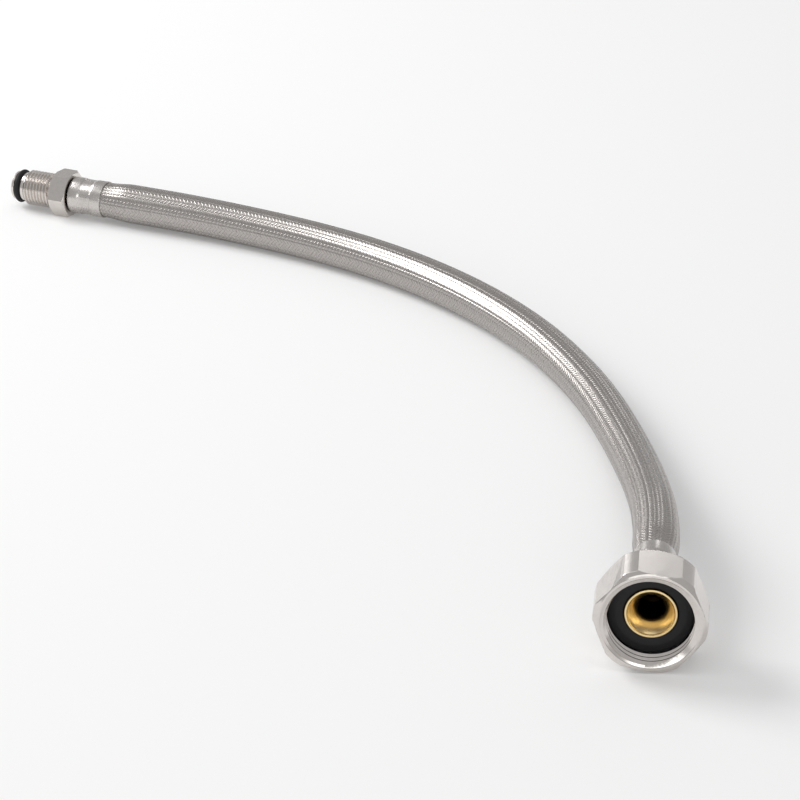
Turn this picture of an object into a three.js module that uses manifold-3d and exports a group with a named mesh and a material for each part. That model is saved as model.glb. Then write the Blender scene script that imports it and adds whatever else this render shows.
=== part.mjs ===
// Braided faucet supply line: a rubber liner in a woven stainless sleeve, crimped at one end to a
// swivelling hexagon coupling nut and at the other to a threaded faucet stem.
// Millimetres, +Z up. The line lies on the plane z = 0; the nut's mouth faces -Y.
import * as THREE from 'three';
import { mergeVertices } from 'three/addons/utils/BufferGeometryUtils.js';
import Module from 'manifold-3d';

const wasm = await Module();
wasm.setup();

// Fits
const SEAT_GAP = 0.3; // between pieces that bear on each other
const SLIDE_FIT = 0.2; // radial, nut on neck
const ROUND = 32; // facets on a turned surface
const THREAD_STEPS = ROUND / 2; // steps in one turn of a thread

// Hose: liner inside, sleeve outside
const HOSE_OD = 11;
const SLEEVE_WALL = 0.8;
const LINER_WALL = 1.1;
const HOSE_SIDES = 12;
const HOSE_STEP_DIAMETERS = 2;

// Coupling nut, 1/2 in straight pipe thread
const NUT_THREAD_MAJOR = 21.3;
const NUT_THREAD_DEPTH = 0.6;
const NUT_THREAD_PITCH = 25.4 / 14;
const NUT_WALL = 1.35; // from the thread to a flat
const NUT_CORNER_ROUNDING = 1; // from a flat's plane out to the turned corners
const NUT_LENGTH = 13.6;
const NUT_BACK_WALL = 3.2;
const NUT_ROLL = THREE.MathUtils.degToRad(9);
const NUT_LIP_STEP = 0.15; // from a flat's plane in to the lip
const NUT_REAR_STEP = 0.7; // from a flat's plane in to the rear face's edge
const NUT_FRONT_CHAMFER = 1;
const NUT_REAR_CHAMFER = 2.2;
const NUT_MOUTH_STEP = 0.5; // from the thread out to the mouth's edge
const NUT_MOUTH_CHAMFER = 0.8;
const NUT_TRAVEL = 3;

// Washer and the brass insert that it seats on
const WASHER_THICKNESS = 3;
const NOSE_DIAMETER = 12;
const NOSE_RIM = 0.55;
const NOSE_PROUD = 0.2; // how far the rim stands out of the washer
const FUNNEL_DEPTH = 4;
const BORE_DIAMETER = 6;
const BORE_LENGTH = 8;
const COLLAR_CLEARANCE = 0.45; // radial, from the collar to the nut's thread
const COLLAR_THICKNESS = 1.7;
const NECK_DIAMETER = 9.6;
const NECK_SPARE = 1.4; // neck left between the nut, slid back, and the ferrule's shoulder

// Split ring that keeps the nut on the insert
const RING_WIRE = 1;
const RING_GAP = THREE.MathUtils.degToRad(40);
const RING_GROOVE_SIDE = 0.2; // axial room on each side of the wire, in the nut

// Barbed tails inside the hose
const TAIL_FIT = 0.35; // radial, from the barbs' tips to the liner
const TAIL_WALL = 0.65;
const BARB_HEIGHT = 0.3;
const BARB_PITCH = 2.4;
const TAIL_SETBACK = 1; // tail stops this far inside its ferrule

// Crimp ferrules
const FERRULE_WALL = 0.5;
const FERRULE_LIP = 1; // thickness of the lip round the tail
const CRIMP_DEPTH = 0.15;
const NUT_FERRULE_LENGTH = 14;
const STEM_FERRULE_LENGTH = 10.5;

// Faucet stem, M10 x 1
const STEM_SHOULDER = 1; // from the thread out to a flat
const STEM_HEX_LENGTH = 5.2;
const STEM_HEX_CHAMFER = 0.8;
const STEM_THREAD_MAJOR = 10;
const STEM_THREAD_DEPTH = 0.6;
const STEM_THREAD_PITCH = 1;
const STEM_THREAD_LENGTH = 8;
const STEM_RELIEF = 1.2;
const STEM_NOSE_STEP = 0.9; // from the thread in to the nose
const STEM_NOSE_LENGTH = 4.2;
const O_RING_SECTION = 1.5;
const O_RING_GROOVE_OFFSET = 1.1; // from the end of the thread

// Centre line of the free hose, from the nut's ferrule to the stem's ferrule
const ROUTE = [
  [89, -106.4, 12.65], [89, -94, 12.65], [88, -79, 11.8], [86.2, -64, 9.9], [83.9, -49.2, 7.9],
  [81, -34.5, 6.4], [77.4, -20, 5.7], [73, -5.6, 5.6], [67.7, 8.5, 5.6], [61.6, 22, 5.6],
  [54.5, 35.4, 5.6], [46.3, 48, 5.6], [37.2, 59.8, 5.6], [27.1, 70.8, 5.6], [16, 81, 5.6],
  [4.2, 90.1, 5.6], [-8.5, 98.2, 5.6], [-21.6, 105.3, 5.6], [-35.3, 111.6, 5.7], [-49.3, 117.1, 5.9],
  [-63.3, 122, 6], [-73.6, 125.6, 6],
].map((point) => new THREE.Vector3(...point));

// Worked-out radii and places
const sleeveBore = HOSE_OD / 2 - SLEEVE_WALL;
const linerRadius = sleeveBore - SEAT_GAP;
const linerBore = linerRadius - LINER_WALL;
const ferruleBore = linerRadius + SEAT_GAP;
const ferruleRadius = ferruleBore + FERRULE_WALL;
const tailRadius = linerBore - TAIL_FIT - BARB_HEIGHT;
const tailBore = tailRadius - TAIL_WALL;
const nutMajor = NUT_THREAD_MAJOR / 2;
const nutMinor = nutMajor - NUT_THREAD_DEPTH;
const nutFlat = nutMajor + NUT_WALL;
const nutShoulder = NUT_LENGTH - NUT_BACK_WALL;
const collarBack = nutShoulder - SEAT_GAP;
const collarFront = collarBack - COLLAR_THICKNESS;
const washerBack = collarFront - SEAT_GAP;
const washerFace = washerBack - WASHER_THICKNESS;
const neckRadius = NECK_DIAMETER / 2;
const neckHole = neckRadius + SLIDE_FIT;
const neckEnd = NUT_LENGTH + NUT_TRAVEL + NECK_SPARE;
const ringCentre = nutShoulder + NUT_BACK_WALL / 2;
const nutFerruleFront = neckEnd + SEAT_GAP;
const nutFerruleBack = nutFerruleFront + NUT_FERRULE_LENGTH;
const nutHoseStart = nutFerruleBack + SEAT_GAP;

const materials = {
  nickel: new THREE.MeshStandardMaterial({ color: 0xb9aea6, roughness: 0.2, metalness: 1 }),
  stainless: new THREE.MeshStandardMaterial({ color: 0xa8a09a, roughness: 0.3, metalness: 1 }),
  braid: new THREE.MeshStandardMaterial({ color: 0x9c938c, roughness: 0.4, metalness: 1 }),
  brass: new THREE.MeshStandardMaterial({ color: 0xc69a4c, roughness: 0.3, metalness: 1 }),
  spring: new THREE.MeshStandardMaterial({ color: 0x8f8f92, roughness: 0.35, metalness: 1 }),
  rubber: new THREE.MeshStandardMaterial({ color: 0x1c1c1f, roughness: 0.7, metalness: 0 }),
};

// ---- Solids ----

// A closed geometry as a solid that can be joined and cut.
function solid(geometry) {
  const bare = geometry.clone();
  bare.deleteAttribute('normal');
  bare.deleteAttribute('uv');
  const merged = mergeVertices(bare, 1e-5);
  return new wasm.Manifold(
    new wasm.Mesh({
      numProp: 3,
      vertProperties: new Float32Array(merged.attributes.position.array),
      triVerts: new Uint32Array(merged.index.array),
    }),
  );
}

function geometryOf(manifold) {
  const { vertProperties, triVerts } = manifold.getMesh();
  const geometry = new THREE.BufferGeometry();
  geometry.setAttribute('position', new THREE.BufferAttribute(new Float32Array(vertProperties), 3));
  geometry.setIndex(new THREE.BufferAttribute(new Uint32Array(triVerts), 1));
  geometry.computeVertexNormals();
  return geometry;
}

// Turns a closed outline of [radius, z] points, listed counter-clockwise, about the z axis.
function turned(outline) {
  const points = [...outline, outline[0]].map(([radius, z]) => new THREE.Vector2(radius, z));
  return new THREE.LatheGeometry(points, ROUND).rotateX(Math.PI / 2);
}

// A hexagonal bar from z = 0, with two of its flats facing +Y and -Y.
function hexBar(acrossFlats, length) {
  const bar = new THREE.CylinderGeometry(acrossFlats / Math.sqrt(3), acrossFlats / Math.sqrt(3), length, 6);
  return bar.rotateX(Math.PI / 2).rotateZ(Math.PI / 6).translate(0, 0, length / 2);
}

// A helical bar whose section runs from rootRadius (wide) to tipRadius (narrow): one thread's groove.
function threadCutter({ rootRadius, tipRadius, rootWidth, tipWidth, pitch, from, to }) {
  const turns = (to - from) / pitch;
  const steps = Math.ceil(turns * THREAD_STEPS);
  const positions = [];
  const index = [];
  const corners = 4;
  for (let step = 0; step <= steps; step += 1) {
    const angle = (step / THREAD_STEPS) * 2 * Math.PI;
    const z = from + (step / THREAD_STEPS) * pitch;
    const section = [
      [rootRadius, z - rootWidth / 2], [tipRadius, z - tipWidth / 2],
      [tipRadius, z + tipWidth / 2], [rootRadius, z + rootWidth / 2],
    ];
    for (const [radius, height] of section) {
      positions.push(radius * Math.cos(angle), radius * Math.sin(angle), height);
    }
  }
  for (let step = 0; step < steps; step += 1) {
    for (let corner = 0; corner < corners; corner += 1) {
      const a = step * corners + corner;
      const b = step * corners + ((corner + 1) % corners);
      index.push(a, a + corners, b, b, a + corners, b + corners);
    }
  }
  const last = steps * corners;
  index.push(0, 1, 2, 0, 2, 3, last, last + 2, last + 1, last, last + 3, last + 2);
  if (rootRadius > tipRadius) index.reverse();
  const geometry = new THREE.BufferGeometry();
  geometry.setAttribute('position', new THREE.Float32BufferAttribute(positions, 3));
  geometry.setIndex(index);
  return geometry;
}

// Outline points of a barbed tail from z = start to z = end: a plain land where the ferrule's lip
// goes round it, then saw teeth that rise on the side facing the start.
function barbs(start, end) {
  const land = FERRULE_LIP + SEAT_GAP * 3;
  const count = Math.floor((end - start - land) / BARB_PITCH);
  const first = end - count * BARB_PITCH;
  const points = [[tailRadius, start], [tailRadius, first]];
  for (let barb = 0; barb < count; barb += 1) {
    const z = first + barb * BARB_PITCH;
    points.push([tailRadius + BARB_HEIGHT, z + BARB_PITCH * 0.1], [tailRadius, z + BARB_PITCH]);
  }
  return points;
}

// ---- Nut end, along z from the nut's lip at z = 0 towards the hose ----

function couplingNut() {
  const corner = nutFlat + NUT_CORNER_ROUNDING;
  const lip = nutFlat - NUT_LIP_STEP;
  const rear = nutFlat - NUT_REAR_STEP;
  const blank = turned([
    [0, 0], [lip, 0], [lip + 0.3, 0.4], [corner, NUT_FRONT_CHAMFER],
    [corner, NUT_LENGTH - NUT_REAR_CHAMFER], [rear + 0.3, NUT_LENGTH - 0.4],
    [rear, NUT_LENGTH], [0, NUT_LENGTH],
  ]);
  const mouth = nutMajor + NUT_MOUTH_STEP;
  const groove = neckHole + RING_WIRE / 2 + SEAT_GAP;
  const grooveHalf = RING_WIRE / 2 + RING_GROOVE_SIDE;
  const relief = nutShoulder - NUT_THREAD_PITCH * 0.7;
  const bore = turned([
    [0, -1], [mouth, -1], [mouth, 0], [nutMinor, NUT_MOUTH_CHAMFER], [nutMinor, relief - 0.4],
    [nutMajor, relief], [nutMajor, nutShoulder], [neckHole, nutShoulder],
    [neckHole, ringCentre - grooveHalf], [groove, ringCentre - grooveHalf],
    [groove, ringCentre + grooveHalf], [neckHole, ringCentre + grooveHalf],
    [neckHole, NUT_LENGTH + 1], [0, NUT_LENGTH + 1],
  ]);
  const thread = threadCutter({
    rootRadius: nutMinor - 0.3,
    tipRadius: nutMajor,
    rootWidth: NUT_THREAD_PITCH * 0.95,
    tipWidth: NUT_THREAD_PITCH * 0.25,
    pitch: NUT_THREAD_PITCH,
    from: -NUT_THREAD_PITCH / 2,
    to: relief,
  });
  const hex = solid(hexBar(nutFlat * 2, NUT_LENGTH));
  return geometryOf(solid(blank).intersect(hex).subtract(solid(bore)).subtract(solid(thread)));
}

function sealingWasher() {
  const inner = NOSE_DIAMETER / 2 + SEAT_GAP;
  const outer = nutMinor - SEAT_GAP;
  return turned([[inner, washerFace], [outer, washerFace], [outer, washerBack], [inner, washerBack]]);
}

function nutInsert() {
  const nose = NOSE_DIAMETER / 2;
  const rim = nose - NOSE_RIM;
  const bore = BORE_DIAMETER / 2;
  const front = washerFace - NOSE_PROUD;
  const funnelEnd = front + FUNNEL_DEPTH;
  const boreEnd = funnelEnd + BORE_LENGTH;
  const collar = nutMinor - COLLAR_CLEARANCE;
  const groove = neckHole - RING_WIRE / 2 - SEAT_GAP;
  const grooveFront = ringCentre - RING_WIRE / 2 - SEAT_GAP;
  const grooveBack = ringCentre + NUT_TRAVEL + RING_WIRE / 2 + SEAT_GAP;
  const tailEnd = nutFerruleBack - TAIL_SETBACK;
  const funnelSteps = 6;
  const funnel = [];
  for (let step = 0; step <= funnelSteps; step += 1) {
    const t = step / funnelSteps;
    funnel.push([bore + (rim - bore) * t ** 1.6, funnelEnd - FUNNEL_DEPTH * t]);
  }
  return turned([
    ...funnel,
    [nose, front], [nose, collarFront], [collar, collarFront], [collar, collarBack],
    [neckRadius, collarBack], [neckRadius, grooveFront], [groove, grooveFront], [groove, grooveBack],
    [neckRadius, grooveBack], [neckRadius, neckEnd],
    ...barbs(neckEnd, tailEnd),
    [tailBore, tailEnd], [tailBore, boreEnd + 0.6], [bore, boreEnd],
  ]);
}

function retainingRing() {
  const sides = 8;
  const steps = 28;
  const wire = new THREE.Shape();
  for (let side = 0; side < sides; side += 1) {
    const angle = ((side + 0.5) / sides) * 2 * Math.PI;
    const x = (RING_WIRE / 2) * Math.cos(angle);
    const y = (RING_WIRE / 2) * Math.sin(angle);
    if (side === 0) wire.moveTo(x, y);
    else wire.lineTo(x, y);
  }
  wire.closePath();
  const arc = new THREE.EllipseCurve(0, 0, neckHole, neckHole, RING_GAP / 2, 2 * Math.PI - RING_GAP / 2);
  const path = new THREE.CatmullRomCurve3(
    arc.getPoints(steps).map((point) => new THREE.Vector3(point.x, point.y, 0)),
  );
  const ring = new THREE.ExtrudeGeometry(wire, { steps, extrudePath: path, curveSegments: 1 });
  return ring.translate(0, 0, ringCentre);
}

// A crimp ferrule: a cup with a lip at z = front and its mouth at front + length, waisted where crimped.
function ferrule(front, length) {
  const waist = ferruleRadius - CRIMP_DEPTH;
  const lipHole = tailRadius + SEAT_GAP;
  const back = front + length;
  return turned([
    [lipHole, front], [ferruleRadius - 0.4, front], [ferruleRadius, front + 0.4],
    [ferruleRadius, front + length * 0.3], [waist, front + length * 0.36],
    [waist, front + length * 0.64], [ferruleRadius, front + length * 0.7],
    [ferruleRadius, back - 0.2], [ferruleRadius - 0.2, back], [ferruleBore, back],
    [ferruleBore, front + FERRULE_LIP], [lipHole, front + FERRULE_LIP],
  ]);
}

// ---- Stem end, along z from the end of the sleeve at z = 0 towards the faucet ----

const stemFerruleBack = SEAT_GAP + STEM_FERRULE_LENGTH;
const stemHexStart = stemFerruleBack + SEAT_GAP;
const stemHexEnd = stemHexStart + STEM_HEX_LENGTH;
const stemThreadStart = stemHexEnd + STEM_RELIEF;
const stemThreadEnd = stemThreadStart + STEM_THREAD_LENGTH;
const stemTip = stemThreadEnd + STEM_NOSE_LENGTH;
const oRingGroove = stemThreadEnd + O_RING_GROOVE_OFFSET;
const oRingGrooveWidth = O_RING_SECTION + SEAT_GAP * 2;
const stemNose = STEM_THREAD_MAJOR / 2 - STEM_NOSE_STEP;
const oRingGrooveRadius = stemNose - O_RING_SECTION * 0.7;

function faucetStem() {
  const major = STEM_THREAD_MAJOR / 2;
  const root = major - STEM_THREAD_DEPTH;
  const flat = major + STEM_SHOULDER;
  const hexCorner = (flat * 2) / Math.sqrt(3);
  const start = SEAT_GAP + TAIL_SETBACK;
  const outline = barbs(0, stemHexStart - start).map(([radius, z]) => [radius, stemHexStart - z]);
  const body = turned([
    [tailBore, start],
    ...outline.reverse(),
    [root, stemHexStart], [root, stemThreadStart - 0.4], [major, stemThreadStart],
    [major, stemThreadEnd - 0.6], [root, stemThreadEnd], [stemNose, stemThreadEnd],
    [stemNose, oRingGroove], [oRingGrooveRadius, oRingGroove],
    [oRingGrooveRadius, oRingGroove + oRingGrooveWidth], [stemNose, oRingGroove + oRingGrooveWidth],
    [stemNose, stemTip - 0.4], [stemNose - 0.4, stemTip], [tailBore + 0.5, stemTip],
    [tailBore, stemTip - 0.5],
  ]);
  const hexEnvelope = turned([
    [root - STEM_HEX_CHAMFER, stemHexStart], [hexCorner - STEM_HEX_CHAMFER, stemHexStart],
    [hexCorner, stemHexStart + STEM_HEX_CHAMFER * 0.6], [hexCorner, stemHexEnd - STEM_HEX_CHAMFER * 0.6],
    [hexCorner - STEM_HEX_CHAMFER, stemHexEnd], [root - STEM_HEX_CHAMFER, stemHexEnd],
  ]);
  const hex = hexBar(flat * 2, STEM_HEX_LENGTH + 2).translate(0, 0, stemHexStart - 1);
  const thread = threadCutter({
    rootRadius: major + 0.2,
    tipRadius: root,
    rootWidth: STEM_THREAD_PITCH * 0.98,
    tipWidth: STEM_THREAD_PITCH * 0.12,
    pitch: STEM_THREAD_PITCH,
    from: stemThreadStart - STEM_THREAD_PITCH / 4,
    to: stemThreadEnd,
  });
  const joined = solid(body).add(solid(hexEnvelope).intersect(solid(hex)));
  return geometryOf(joined.subtract(solid(thread)));
}

function oRing() {
  const sides = 10;
  const section = O_RING_SECTION / 2;
  const mean = oRingGrooveRadius + SEAT_GAP + section;
  const centre = oRingGroove + oRingGrooveWidth / 2;
  const outline = [];
  for (let side = 0; side < sides; side += 1) {
    const angle = (side / sides) * 2 * Math.PI;
    outline.push([mean + section * Math.cos(angle), centre + section * Math.sin(angle)]);
  }
  return turned(outline);
}

// ---- Hose ----

const route = new THREE.CatmullRomCurve3(ROUTE, false, 'centripetal');

// A run of stations with their tangents, which a tube follows one section to a station.
class Stations extends THREE.Curve {
  constructor(stations) {
    super();
    this.stations = stations;
  }

  get steps() {
    return this.stations.length - 1;
  }

  getPointAt(u) {
    return this.stations[Math.round(u * this.steps)].point.clone();
  }

  getTangentAt(u) {
    return this.stations[Math.round(u * this.steps)].tangent.clone();
  }
}

function hoseStations() {
  const steps = Math.round(route.getLength() / (HOSE_OD * HOSE_STEP_DIAMETERS));
  const stations = [];
  for (let step = 0; step <= steps; step += 1) {
    stations.push({ point: route.getPointAt(step / steps), tangent: route.getTangentAt(step / steps) });
  }
  return stations;
}

// The stations with a straight length added before the first and after the last.
function lengthened(stations, before, after) {
  const first = stations[0];
  const last = stations[stations.length - 1];
  return [
    { point: first.point.clone().addScaledVector(first.tangent, -before), tangent: first.tangent },
    ...stations,
    { point: last.point.clone().addScaledVector(last.tangent, after), tangent: last.tangent },
  ];
}

// A pipe along the stations: a circle of innerRadius fits through it and one of outerRadius holds it.
function pipe(stations, innerRadius, outerRadius) {
  const path = new Stations(stations);
  const ring = (radius) => {
    const points = [];
    for (let side = 0; side < HOSE_SIDES; side += 1) {
      const angle = (side / HOSE_SIDES) * 2 * Math.PI;
      points.push(new THREE.Vector2(radius * Math.cos(angle), radius * Math.sin(angle)));
    }
    return points;
  };
  const section = new THREE.Shape(ring(outerRadius));
  section.holes.push(new THREE.Path(ring(innerRadius / Math.cos(Math.PI / HOSE_SIDES))));
  return new THREE.ExtrudeGeometry(section, { steps: path.steps, extrudePath: path, curveSegments: 1 });
}

const stations = hoseStations();
const linerStations = lengthened(
  stations,
  nutHoseStart - nutFerruleFront - FERRULE_LIP - SEAT_GAP,
  stemFerruleBack - FERRULE_LIP - SEAT_GAP,
);

// ---- Assembly ----

function piece(name, geometry, material) {
  const mesh = new THREE.Mesh(geometry, material.clone());
  mesh.name = name;
  return mesh;
}

// A group whose z axis runs along the direction, from the point, with its y axis up.
function endGroup(point, direction) {
  const group = new THREE.Group();
  const up = new THREE.Vector3(0, 0, 1);
  const side = new THREE.Vector3().crossVectors(up, direction).normalize();
  group.quaternion.setFromRotationMatrix(new THREE.Matrix4().makeBasis(side, up, direction));
  group.position.copy(point);
  return group;
}

const line = new THREE.Group();

const first = stations[0];
const nutEnd = endGroup(first.point.clone().addScaledVector(first.tangent, -nutHoseStart), first.tangent);
const nut = piece('coupling_nut', couplingNut(), materials.nickel);
nut.rotation.z = NUT_ROLL;
nutEnd.add(
  nut,
  piece('sealing_washer', sealingWasher(), materials.rubber),
  piece('nut_insert', nutInsert(), materials.brass),
  piece('retaining_ring', retainingRing(), materials.spring),
  piece('nut_ferrule', ferrule(nutFerruleFront, NUT_FERRULE_LENGTH), materials.stainless),
);

const last = stations[stations.length - 1];
const stemEnd = endGroup(last.point, last.tangent);
const stemFerrule = ferrule(-stemFerruleBack, STEM_FERRULE_LENGTH).rotateX(Math.PI);
stemEnd.add(
  piece('stem_ferrule', stemFerrule, materials.stainless),
  piece('faucet_stem', faucetStem(), materials.nickel),
  piece('stem_o_ring', oRing(), materials.rubber),
);

line.add(
  nutEnd,
  stemEnd,
  piece('wire_braid', pipe(stations, sleeveBore, HOSE_OD / 2), materials.braid),
  piece('inner_tube', pipe(linerStations, linerBore, linerRadius), materials.rubber),
);

export default line;
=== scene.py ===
"""Braided faucet supply line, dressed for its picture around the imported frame.

A rubber hose in a woven stainless sleeve runs from a swivelling coupling nut, with its brass insert and
flat washer, to a threaded faucet stem. All sizes are metres, in the frame's own axes.
"""

import logging
import math
from dataclasses import dataclass, field
from enum import Enum
from typing import Callable, Sequence

import bpy
import numpy as np
from mathutils import Matrix, Vector


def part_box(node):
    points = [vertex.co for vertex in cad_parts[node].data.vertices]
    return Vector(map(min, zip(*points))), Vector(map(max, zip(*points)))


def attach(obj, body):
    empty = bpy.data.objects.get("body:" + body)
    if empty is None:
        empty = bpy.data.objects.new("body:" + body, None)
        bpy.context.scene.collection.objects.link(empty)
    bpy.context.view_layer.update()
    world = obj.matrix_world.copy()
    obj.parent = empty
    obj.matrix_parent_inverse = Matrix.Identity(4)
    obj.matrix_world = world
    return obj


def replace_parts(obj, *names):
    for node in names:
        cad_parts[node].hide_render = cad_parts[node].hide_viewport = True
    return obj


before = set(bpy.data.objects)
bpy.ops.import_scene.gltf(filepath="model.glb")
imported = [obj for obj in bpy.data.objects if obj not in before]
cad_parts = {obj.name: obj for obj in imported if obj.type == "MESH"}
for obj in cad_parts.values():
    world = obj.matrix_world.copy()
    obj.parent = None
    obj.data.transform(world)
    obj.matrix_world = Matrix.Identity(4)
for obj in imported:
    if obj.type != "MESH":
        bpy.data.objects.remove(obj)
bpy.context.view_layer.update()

Colour = tuple[float, float, float]
Point = tuple[float, float]

MM = 0.001
UP = Vector((0.0, 0.0, 1.0))
MERGE = 0.002 * MM
log = logging.getLogger("supply_line")


# ---------------------------------------------------------------- modelling bench


class Bench:
    """Modelling moves that the sub-assemblies share."""

    @staticmethod
    def start() -> None:
        """Deselects everything, so that an operator acts only on what comes next."""
        bpy.ops.object.select_all(action="DESELECT")

    @staticmethod
    def take(piece: bpy.types.Object) -> None:
        """Makes one piece the only selected and active one."""
        Bench.start()
        piece.select_set(True)
        bpy.context.view_layer.objects.active = piece

    @staticmethod
    def turn(name: str, outline: Sequence[Point], steps: int) -> bpy.types.Object:
        """Spins an outline about the z axis into a closed solid.

        Args:
            name: The new piece's name.
            outline: Points of (radius, height) in order, closed on itself or with both ends on the axis.
            steps: Steps in the full turn.

        Returns:
            The turned piece.
        """
        Bench.start()
        bpy.ops.mesh.primitive_plane_add(size=MM)
        piece = bpy.context.active_object
        piece.name = name
        bpy.ops.object.mode_set(mode="EDIT")
        bpy.ops.mesh.merge(type="CENTER")
        radius, height = outline[0]
        bpy.ops.transform.translate(value=(radius, 0.0, height))
        closed = outline[0][0] > MERGE
        for next_radius, next_height in [*outline[1:], *([outline[0]] if closed else [])]:
            step = (next_radius - radius, 0.0, next_height - height)
            bpy.ops.mesh.extrude_region_move(TRANSFORM_OT_translate={"value": step})
            radius, height = next_radius, next_height
        bpy.ops.mesh.select_all(action="SELECT")
        bpy.ops.mesh.remove_doubles(threshold=MERGE)
        bpy.ops.mesh.select_all(action="SELECT")
        bpy.ops.mesh.spin(steps=steps, angle=2 * math.pi, center=(0, 0, 0), axis=(0, 0, 1))
        bpy.ops.mesh.select_all(action="SELECT")
        bpy.ops.mesh.remove_doubles(threshold=MERGE)
        bpy.ops.mesh.normals_make_consistent(inside=False)
        bpy.ops.object.mode_set(mode="OBJECT")
        return piece

    @staticmethod
    def cut_flats(piece: bpy.types.Object, distance: float, softened: float, sides: int = 6) -> None:
        """Cuts flats on a turned blank and softens their edges.

        Args:
            piece: The blank, about the z axis.
            distance: From the axis to each flat.
            softened: Width of the small bevel round each flat.
            sides: Number of flats, one of them facing +Y.
        """
        Bench.take(piece)
        bpy.ops.object.mode_set(mode="EDIT")
        for side in range(sides):
            angle = math.pi / 2 + side * 2 * math.pi / sides
            normal = Vector((math.cos(angle), math.sin(angle), 0.0))
            bpy.ops.mesh.select_all(action="SELECT")
            bpy.ops.mesh.bisect(
                plane_co=normal * distance, plane_no=normal, use_fill=True, clear_outer=True
            )
        bpy.ops.mesh.select_all(action="DESELECT")
        bpy.ops.mesh.select_mode(type="EDGE")
        bpy.ops.mesh.edges_select_sharp(sharpness=math.radians(13))
        bpy.ops.mesh.bevel(offset=softened, segments=2, clamp_overlap=True)
        bpy.ops.mesh.select_mode(type="VERT")
        bpy.ops.object.mode_set(mode="OBJECT")

    @staticmethod
    def thread_bar(section: Sequence[Point], pitch: float, start: float, turns: int, steps: int) -> bpy.types.Object:
        """Sweeps a groove's section along a right-handed helix about the z axis.

        Args:
            section: Closed section of (radius, height) points.
            pitch: Rise of one turn.
            start: Height of the first turn.
            turns: Number of turns.
            steps: Steps in one turn.

        Returns:
            The helical bar, closed at both ends.
        """
        Bench.start()
        bpy.ops.mesh.primitive_circle_add(vertices=len(section), radius=MM, fill_type="NOTHING")
        bar = bpy.context.active_object
        for vertex, (radius, height) in zip(bar.data.vertices, section):
            vertex.co = (radius, 0.0, start + height)
        screw = bar.modifiers.new("helix", "SCREW")
        screw.axis = "Z"
        screw.angle = 2 * math.pi
        screw.screw_offset = pitch
        screw.iterations = turns
        screw.steps = steps
        screw.render_steps = steps
        bpy.ops.object.modifier_apply(modifier=screw.name)
        bpy.ops.object.mode_set(mode="EDIT")
        bpy.ops.mesh.select_all(action="SELECT")
        bpy.ops.mesh.fill_holes(sides=0)
        bpy.ops.mesh.select_all(action="SELECT")
        bpy.ops.mesh.normals_make_consistent(inside=False)
        bpy.ops.object.mode_set(mode="OBJECT")
        return bar

    @staticmethod
    def combine(piece: bpy.types.Object, tool: bpy.types.Object, operation: str) -> None:
        """Joins a tool solid to a piece or cuts it away, and uses the tool up.

        Args:
            piece: The piece that stays.
            tool: The solid that is used up.
            operation: "UNION" or "DIFFERENCE".
        """
        Bench.take(piece)
        boolean = piece.modifiers.new("tool", "BOOLEAN")
        boolean.object = tool
        boolean.operation = operation
        boolean.solver = "EXACT"
        bpy.ops.object.modifier_apply(modifier=boolean.name)
        bpy.data.objects.remove(tool)

    @staticmethod
    def finish(piece: bpy.types.Object, place: Matrix, smooth_under: float, even: bool = False) -> None:
        """Moves a piece's mesh to its place and smooths its shallow edges.

        Args:
            piece: The piece, modelled about its own axis.
            place: Matrix from the piece's own axes to the frame.
            smooth_under: Edges that turn less than this, in degrees, shade smooth.
            even: Weights normals by face area, so that milled flats shade flat.
        """
        Bench.take(piece)
        piece.matrix_world = place
        bpy.ops.object.transform_apply(location=True, rotation=True, scale=True)
        bpy.ops.object.shade_smooth_by_angle(angle=math.radians(smooth_under))
        if even:
            weighted = piece.modifiers.new("even", "WEIGHTED_NORMAL")
            weighted.mode, weighted.weight, weighted.keep_sharp = "FACE_AREA", 100, True
            bpy.ops.object.modifier_apply(modifier=weighted.name)


def rounded(corners: Sequence[tuple[float, float, float]], steps: int = 4) -> list[Point]:
    """Rounds the corners of a closed outline.

    Args:
        corners: Points of (radius, height, rounding), where a rounding of 0 stays sharp.
        steps: Segments in each rounded corner.

    Returns:
        The outline's points of (radius, height).
    """
    points: list[Point] = []
    count = len(corners)
    for index, (radius, height, rounding) in enumerate(corners):
        corner = Vector((radius, height))
        if rounding <= 0:
            points.append((radius, height))
            continue
        before = Vector(corners[index - 1][:2]) - corner
        after = Vector(corners[(index + 1) % count][:2]) - corner
        half = before.angle(after) / 2
        reach = min(rounding / math.tan(half), before.length * 0.48, after.length * 0.48)
        start = corner + before.normalized() * reach
        end = corner + after.normalized() * reach
        for step in range(steps + 1):
            t = step / steps
            spot = start * (1 - t) ** 2 + corner * 2 * t * (1 - t) + end * t**2
            points.append((spot.x, spot.y))
    return points


def axis_place(origin: Vector, direction: Vector) -> Matrix:
    """Matrix that stands a piece's z axis along a direction, with its y axis up.

    Args:
        origin: Where the piece's own origin goes.
        direction: Where its z axis points, level with the floor.

    Returns:
        The 4x4 placing matrix.
    """
    side = UP.cross(direction).normalized()
    basis = Matrix((side, direction.cross(side), direction)).transposed()
    return Matrix.Translation(origin) @ basis.to_4x4()


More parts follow.
